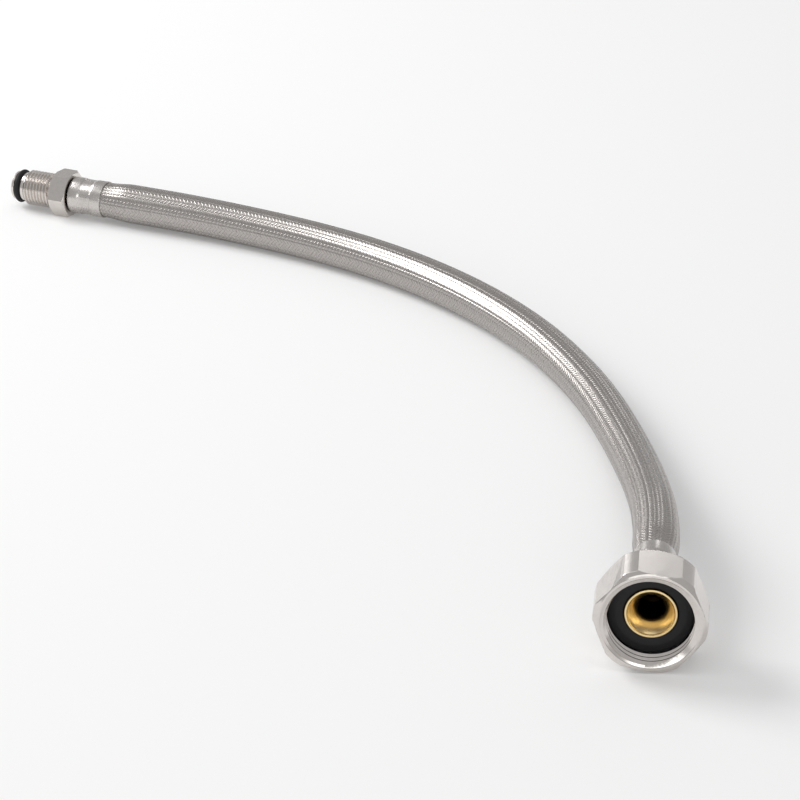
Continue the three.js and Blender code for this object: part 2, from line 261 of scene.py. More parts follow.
def lofted(name: str, stacks: Sequence[np.ndarray], marks: dict[str, Sequence[np.ndarray]]) -> bpy.types.Object:
    """Skins stacks of closed sections into capped tubes, all in one mesh.

    Args:
        name: The new piece's name.
        stacks: One array for each tube, of sections by points by xyz.
        marks: Named point attributes, one array of sections by points for each tube.

    Returns:
        The new piece.
    """
    loops: list[np.ndarray] = []
    sizes: list[np.ndarray] = []
    offset = 0
    for stack in stacks:
        sections, points, _ = stack.shape
        grid = offset + np.arange(sections * points).reshape(sections, points)
        beside = np.roll(grid, -1, axis=1)
        quads = np.stack([grid[:-1], beside[:-1], beside[1:], grid[1:]], axis=-1).reshape(-1, 4)
        loops += [quads.ravel(), grid[0][::-1], grid[-1]]
        sizes += [np.full(len(quads), 4), np.array([points, points])]
        offset += sections * points
    corners = np.concatenate(loops).astype(np.int32)
    counts = np.concatenate(sizes).astype(np.int32)
    mesh = bpy.data.meshes.new(name)
    mesh.vertices.add(offset)
    mesh.vertices.foreach_set("co", np.concatenate([s.reshape(-1) for s in stacks]).astype(np.float32))
    mesh.loops.add(len(corners))
    mesh.loops.foreach_set("vertex_index", corners)
    mesh.polygons.add(len(counts))
    mesh.polygons.foreach_set("loop_start", np.concatenate([[0], np.cumsum(counts)[:-1]]).astype(np.int32))
    mesh.update(calc_edges=True)
    for mark, values in marks.items():
        layer = mesh.attributes.new(mark, "FLOAT", "POINT")
        layer.data.foreach_set("value", np.concatenate([v.reshape(-1) for v in values]).astype(np.float32))
    piece = bpy.data.objects.new(name, mesh)
    bpy.context.scene.collection.objects.link(piece)
    Bench.take(piece)
    bpy.ops.object.shade_smooth_by_angle(angle=math.radians(60))
    return piece


# ---------------------------------------------------------------- finishes


class Sheet:
    """A material's node sheet while it is wired."""

    def __init__(self, name: str) -> None:
        """Starts a material with a Principled shader on its output."""
        self.material = bpy.data.materials.new(name)
        self.material.use_nodes = True
        self.tree = self.material.node_tree
        self.shader = self.tree.nodes["Principled BSDF"]

    def node(self, kind: str, **values: object) -> bpy.types.Node:
        """Adds a node.

        Args:
            kind: The node's Blender type.
            **values: Its settings by name, or an input's value by the input's name.

        Returns:
            The new node.
        """
        node = self.tree.nodes.new(kind)
        for key, value in values.items():
            if hasattr(node, key):
                setattr(node, key, value)
            else:
                node.inputs[key.replace("_", " ")].default_value = value
        return node

    def link(self, source: bpy.types.NodeSocket, target: bpy.types.NodeSocket) -> None:
        """Wires one socket to another."""
        self.tree.links.new(source, target)

    def noise(self, scale: float, detail: float, stretch: Colour = (1, 1, 1)) -> bpy.types.NodeSocket:
        """Adds a noise on Object coordinates.

        Args:
            scale: Features in a metre.
            detail: Octaves of finer noise.
            stretch: Scale along each axis, to draw the noise out.

        Returns:
            The noise's factor.
        """
        place = self.node("ShaderNodeTexCoord")
        mapping = self.node("ShaderNodeMapping", Scale=stretch)
        noise = self.node("ShaderNodeTexNoise", Scale=scale, Detail=detail)
        self.link(place.outputs["Object"], mapping.inputs["Vector"])
        self.link(mapping.outputs["Vector"], noise.inputs["Vector"])
        return noise.outputs["Fac"]

    def ramp(self, factor: bpy.types.NodeSocket, low: float, high: float) -> bpy.types.NodeSocket:
        """Maps a factor from 0..1 onto a range of numbers and returns the result."""
        spread = self.node("ShaderNodeMapRange", To_Min=low, To_Max=high)
        self.link(factor, spread.inputs["Value"])
        return spread.outputs["Result"]

    def blend(self, factor: bpy.types.NodeSocket, first: Colour, second: Colour) -> bpy.types.NodeSocket:
        """Mixes two colours by a factor and returns the result."""
        mix = self.node("ShaderNodeMix", data_type="RGBA")
        mix.inputs[6].default_value = (*first, 1)
        mix.inputs[7].default_value = (*second, 1)
        self.link(factor, mix.inputs[0])
        return mix.outputs[2]

    def bump(self, heights: Sequence[tuple[bpy.types.NodeSocket, float, float]]) -> None:
        """Adds bumps to the shader, one on top of the other.

        Args:
            heights: Each bump's height socket, strength, and depth in metres.
        """
        normal = None
        for height, strength, depth in heights:
            bump = self.node("ShaderNodeBump", Strength=strength, Distance=depth)
            self.link(height, bump.inputs["Height"])
            if normal is not None:
                self.link(normal, bump.inputs["Normal"])
            normal = bump.outputs["Normal"]
        self.link(normal, self.shader.inputs["Normal"])

    def set(self, **values: object) -> None:
        """Sets constants on the shader's own sockets, by name."""
        for key, value in values.items():
            self.shader.inputs[key.replace("_", " ")].default_value = value


@dataclass(frozen=True)
class PlatedNickel:
    """Bright nickel plate over a forged and turned part: soft waves, faint rubs."""

    name: str = "plated_nickel"
    bright: Colour = (0.75, 0.71, 0.68)
    dull: Colour = (0.64, 0.60, 0.57)
    polish: float = 0.13
    worn: float = 0.24

    def material(self) -> bpy.types.Material:
        """Wires the finish and returns its material."""
        sheet = Sheet(self.name)
        wave = sheet.noise(scale=160, detail=2)
        rub = sheet.noise(scale=900, detail=4, stretch=(1, 0.25, 1))
        sheet.set(Metallic=1.0)
        sheet.link(sheet.blend(rub, self.bright, self.dull), sheet.shader.inputs["Base Color"])
        sheet.link(sheet.ramp(rub, self.polish, self.worn), sheet.shader.inputs["Roughness"])
        sheet.bump([(wave, 0.25, 0.06 * MM), (rub, 0.12, 0.01 * MM)])
        return sheet.material


@dataclass(frozen=True)
class DrawnSteel:
    """A drawn stainless sleeve with fine marks along its length."""

    name: str = "drawn_steel"
    light: Colour = (0.66, 0.63, 0.605)
    dark: Colour = (0.50, 0.475, 0.455)
    roughness: Point = (0.2, 0.36)

    def material(self) -> bpy.types.Material:
        """Wires the finish and returns its material."""
        sheet = Sheet(self.name)
        drawn = sheet.noise(scale=2200, detail=3, stretch=(1, 0.06, 1))
        stain = sheet.noise(scale=260, detail=3)
        sheet.set(Metallic=1.0)
        sheet.link(sheet.blend(stain, self.light, self.dark), sheet.shader.inputs["Base Color"])
        sheet.link(sheet.ramp(drawn, *self.roughness), sheet.shader.inputs["Roughness"])
        sheet.bump([(drawn, 0.35, 0.012 * MM), (stain, 0.2, 0.04 * MM)])
        return sheet.material


@dataclass(frozen=True)
class BraidWire:
    """Fine stainless wire: its own colour along each wire's back, darkened with painted shade down between wires, at
    band edges and under each band.
    """

    name: str = "braid_wire"
    back: Colour = (0.56, 0.53, 0.51)
    # Painted shade: the dark colour that is blended in between wires, at band edges and under each band.
    valley_shade: Colour = (0.16, 0.15, 0.14)
    tarnish: Colour = (0.44, 0.41, 0.39)
    roughness: Point = (0.22, 0.32)

    def material(self) -> bpy.types.Material:
        """Wires the finish and returns its material."""
        sheet = Sheet(self.name)
        # Painted shade mark: 0 on the wires' tops, rising to 1 under the band, mixes the colour towards the dark
        # shade colour.
        crevice_shade = sheet.node("ShaderNodeAttribute", attribute_name="crevice_shade").outputs["Fac"]
        lot = sheet.node("ShaderNodeAttribute", attribute_name="wire_lot").outputs["Fac"]
        grain = sheet.noise(scale=3000, detail=2)
        metal = sheet.node("ShaderNodeMix", data_type="RGBA")
        sheet.link(sheet.blend(lot, self.back, self.tarnish), metal.inputs[6])
        metal.inputs[7].default_value = (*self.valley_shade, 1)
        sheet.link(crevice_shade, metal.inputs[0])
        sheet.link(metal.outputs[2], sheet.shader.inputs["Base Color"])
        sheet.set(Metallic=1.0)
        sheet.link(sheet.ramp(grain, *self.roughness), sheet.shader.inputs["Roughness"])
        sheet.bump([(grain, 0.15, 0.01 * MM)])
        return sheet.material


@dataclass(frozen=True)
class TurnedBrass:
    """Bare turned brass: rings left by the tool and a polished funnel, with painted shade: near-black inside the
    bore.
    """

    name: str = "turned_brass"
    fresh: Colour = (0.90, 0.73, 0.42)
    aged: Colour = (0.80, 0.60, 0.29)
    roughness: Point = (0.16, 0.3)
    centre: Vector = field(default_factory=Vector)
    tool_feed: float = 0.12 * MM
    # Painted shade: a near-black colour for the bore, in place of the shade inside it.
    bore: Colour = (0.03, 0.02, 0.01)
    bore_shade_radius: Point = (3.01 * MM, 3.1 * MM)

    def material(self) -> bpy.types.Material:
        """Wires the finish and returns its material."""
        sheet = Sheet(self.name)
        place = sheet.node("ShaderNodeTexCoord")
        mapping = sheet.node("ShaderNodeMapping", Location=-self.centre)
        wave = sheet.node("ShaderNodeTexWave", wave_type="BANDS", bands_direction="Y", Distortion=1.5)
        wave.inputs["Scale"].default_value = 1 / (self.tool_feed * 20)
        sheet.link(place.outputs["Object"], mapping.inputs["Vector"])
        sheet.link(mapping.outputs["Vector"], wave.inputs["Vector"])
        age = sheet.noise(scale=330, detail=4)
        level = sheet.node("ShaderNodeVectorMath", operation="MULTIPLY")
        level.inputs[1].default_value = (1, 0, 1)
        reach = sheet.node("ShaderNodeVectorMath", operation="LENGTH")
        # Painted shade: inside the bore the colour goes near-black, fading to brass between these radii.
        shade = sheet.node("ShaderNodeMapRange", From_Min=self.bore_shade_radius[0], From_Max=self.bore_shade_radius[1])
        metal = sheet.node("ShaderNodeMix", data_type="RGBA")
        sheet.link(mapping.outputs["Vector"], level.inputs[0])
        sheet.link(level.outputs["Vector"], reach.inputs[0])
        sheet.link(reach.outputs["Value"], shade.inputs["Value"])
        sheet.link(shade.outputs["Result"], metal.inputs[0])
        metal.inputs[6].default_value = (*self.bore, 1)
        sheet.link(sheet.blend(age, self.fresh, self.aged), metal.inputs[7])
        sheet.set(Metallic=1.0)
        sheet.link(metal.outputs[2], sheet.shader.inputs["Base Color"])
        sheet.link(sheet.ramp(age, *self.roughness), sheet.shader.inputs["Roughness"])
        sheet.bump([(wave.outputs["Fac"], 0.25, 0.012 * MM), (age, 0.15, 0.02 * MM)])
        return sheet.material


@dataclass(frozen=True)
class Rubber:
    """Moulded or extruded black rubber with a fine skin."""

    name: str
    colour: Colour = (0.006, 0.006, 0.007)
    bloom: Colour = (0.014, 0.014, 0.016)
    roughness: Point = (0.5, 0.66)
    skin: float = 1400.0

    def material(self) -> bpy.types.Material:
        """Wires the finish and returns its material."""
        sheet = Sheet(self.name)
        skin = sheet.noise(scale=self.skin, detail=3)
        dust = sheet.noise(scale=self.skin / 8, detail=4)
        sheet.set(Specular_IOR_Level=0.3)
        sheet.link(sheet.blend(dust, self.colour, self.bloom), sheet.shader.inputs["Base Color"])
        sheet.link(sheet.ramp(skin, *self.roughness), sheet.shader.inputs["Roughness"])
        sheet.bump([(skin, 0.3, 0.03 * MM)])
        return sheet.material


@dataclass(frozen=True)
class SpringWire:
    """Drawn spring wire, satin grey."""

    name: str = "spring_wire"
    light: Colour = (0.58, 0.58, 0.59)
    dark: Colour = (0.42, 0.42, 0.43)

    def material(self) -> bpy.types.Material:
        """Wires the finish and returns its material."""
        sheet = Sheet(self.name)
        grain = sheet.noise(scale=2500, detail=3)
        sheet.set(Metallic=1.0)
        sheet.link(sheet.blend(grain, self.light, self.dark), sheet.shader.inputs["Base Color"])
        sheet.link(sheet.ramp(grain, 0.25, 0.4), sheet.shader.inputs["Roughness"])
        sheet.bump([(grain, 0.2, 0.01 * MM)])
        return sheet.material


def dress(piece: bpy.types.Object, finish: object) -> None:
    """Gives a piece its finish and logs the piece's name, the finish's name and its face count.

    Args:
        piece: The piece to dress.
        finish: A finish with a material() method.
    """
    material = bpy.data.materials.get(finish.name) or finish.material()
    piece.data.materials.clear()
    piece.data.materials.append(material)
    log.info("%s: %s, %d faces", piece.name, finish.name, len(piece.data.polygons))


# ---------------------------------------------------------------- hose

ROUTE = [
    (0.089, -0.1064, 0.01265), (0.089, -0.094, 0.01265), (0.088, -0.079, 0.0118), (0.0862, -0.064, 0.0099),
    (0.0839, -0.0492, 0.0079), (0.081, -0.0345, 0.0064), (0.0774, -0.02, 0.0057), (0.073, -0.0056, 0.0056),
    (0.0677, 0.0085, 0.0056), (0.0616, 0.022, 0.0056), (0.0545, 0.0354, 0.0056), (0.0463, 0.048, 0.0056),
    (0.0372, 0.0598, 0.0056), (0.0271, 0.0708, 0.0056), (0.016, 0.081, 0.0056), (0.0042, 0.0901, 0.0056),
    (-0.0085, 0.0982, 0.0056), (-0.0216, 0.1053, 0.0056), (-0.0353, 0.1116, 0.0057), (-0.0493, 0.1171, 0.0059),
    (-0.0633, 0.122, 0.006), (-0.0736, 0.1256, 0.006),
]


class Route:
    """The hose's centre line: a centripetal curve through chosen points, with straight ends."""

    def __init__(self, points: Sequence[Sequence[float]], fine: int = 40) -> None:
        """Samples the curve finely and measures it.

        Args:
            points: The chosen points, in order.
            fine: Samples between each two points.
        """
        chosen = np.array(points, float)
        ends = np.vstack([2 * chosen[0] - chosen[1], chosen, 2 * chosen[-1] - chosen[-2]])
        spans = [self._span(ends[i : i + 4], fine) for i in range(len(chosen) - 1)]
        self.samples = np.vstack([*spans, chosen[-1:]])
        steps = np.linalg.norm(np.diff(self.samples, axis=0), axis=1)
        self.reach = np.concatenate([[0.0], np.cumsum(steps)])
        self.length = float(self.reach[-1])
        slopes = np.gradient(self.samples, self.reach, axis=0)
        self.slopes = slopes / np.linalg.norm(slopes, axis=1)[:, None]

    @staticmethod
    def _span(four: np.ndarray, fine: int) -> np.ndarray:
        """Samples the curve between the middle two of four points."""
        gaps = np.linalg.norm(np.diff(four, axis=0), axis=1) ** 0.5
        times = np.concatenate([[0.0], np.cumsum(gaps)])
        t = np.linspace(times[1], times[2], fine, endpoint=False)[:, None]

        def between(a: np.ndarray, b: np.ndarray, low: float, high: float) -> np.ndarray:
            """Mixes two runs of points over a span of time."""
            return ((high - t) * a + (t - low) * b) / (high - low)

        first = [between(four[i], four[i + 1], times[i], times[i + 1]) for i in range(3)]
        second = [between(first[i], first[i + 1], times[i], times[i + 2]) for i in range(2)]
        return between(second[0], second[1], times[1], times[2])

    def at(self, along: np.ndarray) -> tuple[np.ndarray, np.ndarray, np.ndarray]:
        """Gives places on the line, which runs on straight past both ends.

        Args:
            along: Distances from the nut's end, in an array of any shape.

        Returns:
            The points, and the sideways and upward directions there, each with xyz last.
        """
        inside = np.clip(along, 0.0, self.length)
        point = np.stack([np.interp(inside, self.reach, self.samples[:, k]) for k in range(3)], axis=-1)
        slope = np.stack([np.interp(inside, self.reach, self.slopes[:, k]) for k in range(3)], axis=-1)
        slope /= np.linalg.norm(slope, axis=-1, keepdims=True)
        point = point + slope * (along - inside)[..., None]
        side = np.cross(np.array(UP), slope)
        side /= np.linalg.norm(side, axis=-1, keepdims=True)
        return point, side, np.cross(slope, side)

    def end(self) -> tuple[Vector, Vector]:
        """Returns the line's last point and its direction there, level with the floor."""
        direction = Vector(self.slopes[-1])
        direction.z = 0.0
        return Vector(self.samples[-1]), direction.normalized()


class Lay(Enum):
    """Which way a band of wires winds round the hose."""

    RIGHT = 1
    LEFT = -1


@dataclass
class Hose:
    """Rubber liner in a sleeve of woven bands, each band a few wires side by side."""

    route: Route
    diameter: float = 11 * MM
    mouth_diameter: float = 9.9 * MM
    flare: float = 8 * MM
    tucked: float = 3 * MM
    bands_each_way: int = 24
    wires: int = 5
    wire: float = 0.16 * MM
    band_gap: float = 0.03 * MM
    wire_depth: float = 0.014 * MM
    lead: float = 28 * MM
    steps_per_wave: int = 8
    bands_per_piece: int = 6
    liner_sides: int = 32
    liner_wall: float = 1.1 * MM
    liner_tuck: float = 12 * MM
    liner_tuck_stem: float = 9 * MM
    wire_lots: int = 7

    def radius(self, along: np.ndarray) -> np.ndarray:
        """Gives the sleeve's mean radius, which draws in towards each ferrule.

        Args:
            along: Distances from the nut's end.

        Returns:
            The mean radius at each.
        """
        from_end = np.minimum(along, self.route.length - along)
        t = np.clip(from_end / self.flare, 0.0, 1.0)
        opened = t * t * (3 - 2 * t)
        outer = self.mouth_diameter + (self.diameter - self.mouth_diameter) * opened
        return outer / 2 - self.wire

    def band(self, index: int, lay: Lay) -> tuple[np.ndarray, np.ndarray, np.ndarray]:
        """Winds one band, over two and under two of the bands that cross it.

        Args:
            index: The band's number among those of its lay.
            lay: The way that it winds.

        Returns:
            Its sections, and at each of their points the painted shade mark (darker between wires, at band edges and
            underneath) and the wire lot mark.
        """
        row = self.lead / (2 * self.bands_each_way)
        wave = 4 * row
        count = int((self.route.length + 2 * self.tucked) / wave * self.steps_per_wave)
        along = np.linspace(-self.tucked, self.route.length + self.tucked, count)[:, None]
        girth = math.pi * (self.diameter - 2 * self.wire)
        pitch_angle = math.atan2(girth, self.lead)
        width = girth * math.cos(pitch_angle) / self.bands_each_way - self.band_gap
        across, lift, crevice_shade, wire_number = self._section(width)
        turn = lay.value * 2 * math.pi * along / self.lead + 2 * math.pi * index / self.bands_each_way
        here = along - lay.value * math.sin(pitch_angle) * across * lay.value
        mean = self.radius(here)
        squeeze = mean / (self.diameter / 2 - self.wire)
        angle = turn + lay.value * math.cos(pitch_angle) * across * squeeze / mean
        phase = 2 * math.pi * (angle * self.bands_each_way / math.pi) / 4
        over = np.sin(phase + math.pi / 4)
        swing = np.clip(over * 1.5, -1.0, 1.0) * lay.value
        radius = mean + swing * self.wire * 0.5 + lift
        point, side, top = self.route.at(here)
        sections = point + radius[..., None] * (
            np.cos(angle)[..., None] * side + np.sin(angle)[..., None] * top
        )
        lots = ((wire_number * 5 + index * 3 + lay.value) % self.wire_lots) / (self.wire_lots - 1)
        shape = sections.shape[:2]
        if lay is Lay.LEFT:
            sections = sections[:, ::-1]
            crevice_shade, lots = crevice_shade[::-1], lots[::-1]
        return sections, np.broadcast_to(crevice_shade, shape), np.broadcast_to(lots, shape)

    def _section(self, width: float) -> tuple[np.ndarray, np.ndarray, np.ndarray, np.ndarray]:
        """Draws a band's closed section: a ridge for each wire on top, flat below.

        Args:
            width: The band's width.

        Returns:
            Each point's place across, its height, its crevice mark and its wire's number.
        """
        steps = np.arange(2 * self.wires + 1)
        ridge = steps % 2 == 1
        across = (steps / (2 * self.wires) - 0.5) * width
        height = np.where(ridge, self.wire / 2, self.wire / 2 - self.wire_depth)
        height[[0, -1]] = self.wire * 0.25
        # Painted shade mark: 0 on each wire's top, 0.3 between wires, 0.75 at the band's edges and 1 underneath.
        mark = np.where(ridge, 0.0, 0.3)
        mark[[0, -1]] = 0.75
        under = np.array([0.42, -0.42]) * width
        return (
            np.concatenate([across, under]),
            np.concatenate([height, [-self.wire / 2, -self.wire / 2]]),
            np.concatenate([mark, [1.0, 1.0]]),
            np.concatenate([steps // 2, [0, 0]]),
        )

    def braid(self, finish: BraidWire) -> list[bpy.types.Object]:
        """Weaves the sleeve, in pieces that each hold a few bands.

        Args:
            finish: The wire's finish.

        Returns:
            The sleeve's pieces.
        """
        pieces = []
        for lay in Lay:
            for first in range(0, self.bands_each_way, self.bands_per_piece):
                bands = [self.band(first + k, lay) for k in range(self.bands_per_piece)]
                sections, crevice_shade, lots = zip(*bands)
                name = f"braid_{lay.name.lower()}_{first // self.bands_per_piece + 1}"
                # The first mark carries the braid's painted shade, and the wire lot mark carries each wire's own
                # tone.
                piece = lofted(name, sections, {"crevice_shade": crevice_shade, "wire_lot": lots})
                dress(piece, finish)
                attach(piece, "line")
                pieces.append(piece)
        return pieces

    def liner(self, finish: Rubber) -> bpy.types.Object:
        """Draws the rubber liner close under the sleeve, as a pipe with its bore.

        Args:
            finish: The rubber's finish.

        Returns:
            The liner.
        """
        count = int(self.route.length / (1.5 * MM))
        along = np.linspace(-self.liner_tuck, self.route.length + self.liner_tuck_stem, count)
        outside = np.minimum(self.radius(along) - self.wire * 1.15, self.diameter / 2)
        around = np.linspace(0, 2 * math.pi, self.liner_sides, endpoint=False)
        point, side, top = self.route.at(along[:, None] + 0 * around)
        turn = np.cos(around)[:, None] * side + np.sin(around)[:, None] * top
        outer = point + outside[:, None, None] * turn
        inner = point + (outside - self.liner_wall)[:, None, None] * turn
        ring = np.concatenate([outer, inner[::-1], outer[:1]])
        piece = self._pipe("rubber_liner", ring)
        dress(piece, finish)
        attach(piece, "line")
        return piece

    def _pipe(self, name: str, rings: np.ndarray) -> bpy.types.Object:
        """Skins rings that run out along a wall and back along its bore, closed on the first.

        Args:
            name: The new piece's name.
            rings: Rings by points by xyz, the last the same as the first.

        Returns:
            The pipe.
        """
        pipe = lofted(name, [rings], {})
        Bench.take(pipe)
        bpy.ops.object.mode_set(mode="EDIT")
        bpy.ops.mesh.select_all(action="DESELECT")
        bpy.ops.mesh.select_mode(type="FACE")
        bpy.ops.mesh.select_face_by_sides(number=self.liner_sides, type="EQUAL")
        bpy.ops.mesh.delete(type="ONLY_FACE")
        bpy.ops.mesh.select_mode(type="VERT")
        bpy.ops.mesh.select_all(action="SELECT")
        bpy.ops.mesh.remove_doubles(threshold=MERGE)
        bpy.ops.mesh.normals_make_consistent(inside=False)
        bpy.ops.object.mode_set(mode="OBJECT")
        return pipe


# ---------------------------------------------------------------- end fittings


@dataclass
class Ferrule:
    """A crimp sleeve: a cup with a lip, squeezed by a die that leaves flats round its waist."""

    name: str
    length: float
    radius: float = 5.2 * MM
    bore: float = 4.95 * MM
    lip_hole: float = 2.95 * MM
    lip: float = 1 * MM
    waist: float = 0.2 * MM
    die_jaws: int = 8
    steps: int = 96

    def build(self, place: Matrix, finish: DrawnSteel) -> bpy.types.Object:
        """Turns the cup, crimps it and puts it in place.

        Args:
            place: Stands the ferrule with its lip at the start of its z axis and its mouth beyond.
            finish: The sleeve's finish.

        Returns:
            The ferrule.
        """
        waist, mouth = self.radius - self.waist, self.length
        outline = rounded([
            (self.lip_hole, 0, 0.1 * MM), (self.radius, 0, 0.5 * MM),
            (self.radius, mouth * 0.3, 0.8 * MM), (waist, mouth * 0.35, 0.8 * MM),
            (waist, mouth * 0.65, 0.8 * MM), (self.radius, mouth * 0.7, 0.8 * MM),
            (self.radius, mouth, 0.14 * MM), (self.bore, mouth, 0.08 * MM),
            (self.bore, self.lip, 0.2 * MM), (self.lip_hole, self.lip, 0.1 * MM),
        ])
        piece = Bench.turn(self.name, outline, self.steps)
        self._crimp(piece)
        Bench.finish(piece, place, 40)
        dress(piece, finish)
        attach(piece, "line")
        return piece

    def _crimp(self, piece: bpy.types.Object) -> None:
        """Presses the die's jaws into the waist, in turn about the axis."""
        Bench.take(piece)
        bpy.ops.object.mode_set(mode="EDIT")
        bpy.ops.mesh.select_all(action="DESELECT")
        bpy.ops.object.mode_set(mode="OBJECT")
        sector = 2 * math.pi / self.die_jaws
        for vertex in piece.data.vertices:
            x, y, z = vertex.co
            outside = math.hypot(x, y) > self.bore + 0.01 * MM
            in_jaw = abs(math.remainder(math.atan2(y, x), sector)) < sector * 0.3
            in_waist = self.length * 0.33 < z < self.length * 0.67
            vertex.select = outside and in_jaw and in_waist
        bpy.ops.object.mode_set(mode="EDIT")
        press = 1 - 0.08 * MM / self.radius
        bpy.ops.transform.resize(value=(press, press, 1))
        bpy.ops.object.mode_set(mode="OBJECT")


@dataclass
class NutEnd:
    """Swivelling coupling nut with its washer, brass insert and ferrule, along z from the nut's lip."""

    lip_centre: Vector
    thread_major: float = 10.65 * MM
    thread_depth: float = 0.75 * MM
    thread_pitch: float = 25.4 * MM / 14
    flat: float = 12 * MM
    corner: float = 13 * MM
    length: float = 13.6 * MM
    back_wall: float = 3.2 * MM
    roll: float = math.radians(9)
    front_chamfer: float = 1 * MM
    rear_chamfer: float = 2.2 * MM
    neck: float = 4.8 * MM
    nose: float = 6 * MM
    steps: int = 192

    def __post_init__(self) -> None:
        """Works out the places that follow from the sizes."""
        self.place = axis_place(self.lip_centre, Vector((0.0, 1.0, 0.0)))
        self.minor = self.thread_major - self.thread_depth
        self.shoulder = self.length - self.back_wall
        self.collar_back = self.shoulder - 0.3 * MM
        self.collar_front = self.collar_back - 1.7 * MM
        self.washer_back = self.collar_front - 0.3 * MM
        self.washer_face = self.washer_back - 3 * MM
        self.neck_end = self.length + 4.4 * MM
        self.ferrule_front = self.neck_end + 0.3 * MM

    def nut(self, finish: PlatedNickel) -> bpy.types.Object:
        """Turns the blank, mills six flats, bores it and cuts its thread.

        Args:
            finish: The nut's plating.

        Returns:
            The nut.
        """
        lip, rear = self.flat - 0.15 * MM, self.flat - 0.7 * MM
        blank = rounded([
            (0, 0, 0), (lip, 0, 0.15 * MM), (lip + 0.3 * MM, 0.4 * MM, 0.15 * MM),
            (self.corner, self.front_chamfer, 0.3 * MM),
            (self.corner, self.length - self.rear_chamfer, 0.8 * MM),
            (rear + 0.35 * MM, self.length - 0.35 * MM, 0.4 * MM), (rear, self.length, 0.3 * MM),
            (0, self.length, 0),
        ])
        nut = Bench.turn("swivel_nut", blank, self.steps)
        Bench.cut_flats(nut, self.flat, 0.16 * MM)
        hole, mouth = self.neck + 0.2 * MM, self.thread_major + 0.5 * MM
        relief = self.shoulder - self.thread_pitch * 0.7
        groove, middle = hole + 0.8 * MM, self.shoulder + self.back_wall / 2
        bore = rounded([
            (0, -1 * MM, 0), (mouth + 0.2 * MM, -1 * MM, 0), (mouth + 0.2 * MM, -0.02 * MM, 0),
            (mouth, 0.12 * MM, 0.1 * MM), (self.minor, 0.75 * MM, 0.15 * MM),
            (self.minor, relief - 0.4 * MM, 0), (self.thread_major, relief, 0),
            (self.thread_major, self.shoulder, 0.2 * MM), (hole, self.shoulder, 0),
            (hole, middle - 0.7 * MM, 0), (groove, middle - 0.7 * MM, 0),
            (groove, middle + 0.7 * MM, 0), (hole, middle + 0.7 * MM, 0),
            (hole, self.length + 1 * MM, 0), (0, self.length + 1 * MM, 0),
        ])
        Bench.combine(nut, Bench.turn("bore", bore, self.steps), "DIFFERENCE")
        half, tip = self.thread_pitch * 0.46, self.thread_pitch * 0.08
        section = [
            (self.minor - 0.1 * MM, -half), (self.minor - 0.1 * MM, half),
            (self.thread_major - 0.05 * MM, tip), (self.thread_major, 0), (self.thread_major - 0.05 * MM, -tip),
        ]
        turns = int((relief + self.thread_pitch / 2) / self.thread_pitch)
        bar = Bench.thread_bar(section, self.thread_pitch, -self.thread_pitch * 0.6, turns, 96)
        Bench.combine(nut, bar, "DIFFERENCE")
        Bench.finish(nut, self.place @ Matrix.Rotation(self.roll, 4, "Z"), 32, even=True)
        dress(nut, finish)
        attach(nut, "nut")
        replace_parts(nut, "coupling_nut")
        return nut

    def washer(self, finish: Rubber) -> bpy.types.Object:
        """Turns the flat washer, its faces a little crowned and its edges rounded.

        Args:
            finish: The washer's rubber.

        Returns:
            The washer.
        """
        inner, outer = self.nose + 0.15 * MM, self.minor - 0.1 * MM
        middle, crown = (inner + outer) / 2, 0.12 * MM
        outline = rounded([
            (inner, self.washer_face + 0.15 * MM, 0.35 * MM), (middle, self.washer_face - crown / 2, 1.5 * MM),
            (outer, self.washer_face + 0.1 * MM, 0.45 * MM), (outer, self.washer_back, 0.35 * MM),
            (middle, self.washer_back + crown / 2, 1.5 * MM), (inner, self.washer_back, 0.3 * MM),
        ])
        washer = Bench.turn("flat_washer", outline, 128)
        Bench.finish(washer, self.place, 50)
        dress(washer, finish)
        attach(washer, "line")
        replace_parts(washer, "sealing_washer")
        return washer

    def insert(self, finish: TurnedBrass) -> bpy.types.Object:
        """Turns the brass insert: rim, funnel, bore, collar, neck with its groove, and barbed tail.

        Args:
            finish: The brass.

        Returns:
            The insert.
        """
        front, bore = self.washer_face - 0.25 * MM, 3 * MM
        rim, funnel_end = self.nose - 0.55 * MM, front + 4 * MM
        funnel = []
        for step in range(13):
            t = step / 12
            funnel.append((bore + (rim - bore) * t**1.45, funnel_end - (funnel_end - front - 0.12 * MM) * t, 0))
        tail, groove = 2.65 * MM, self.neck - 0.6 * MM
        groove_front, groove_back = self.shoulder + 0.8 * MM, self.shoulder + 5.4 * MM
        tail_end, barb_pitch = self.ferrule_front + 13 * MM, 2.4 * MM
        barbs = []
        first = self.neck_end + 1.9 * MM
        for barb in range(int((tail_end - first) / barb_pitch)):
            start = first + barb * barb_pitch
            barbs += [(tail + 0.3 * MM, start + 0.25 * MM, 0.05 * MM), (tail, start + barb_pitch, 0.05 * MM)]
        collar = self.minor - 0.5 * MM
        outline = rounded([
            *funnel,
            (rim + 0.05 * MM, front, 0.12 * MM), (self.nose, front, 0.18 * MM),
            (self.nose, self.collar_front, 0.1 * MM),
            (collar, self.collar_front, 0.2 * MM), (collar, self.collar_back, 0.2 * MM),
            (self.neck, self.collar_back, 0.1 * MM), (self.neck, groove_front, 0.05 * MM),
            (groove, groove_front, 0.1 * MM), (groove, groove_back, 0.1 * MM),
            (self.neck, groove_back, 0.05 * MM), (self.neck, self.neck_end, 0.15 * MM),
            (tail, self.neck_end, 0.05 * MM), (tail, first, 0), *barbs,
            (tail, tail_end, 0.1 * MM), (2 * MM, tail_end, 0.1 * MM), (2 * MM, funnel_end + 8.6 * MM, 0.2 * MM),
            (bore, funnel_end + 8 * MM, 0.2 * MM),
        ])
        insert = Bench.turn("brass_insert", outline, 128)
        Bench.finish(insert, self.place, 35)
        dress(insert, finish)
        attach(insert, "line")
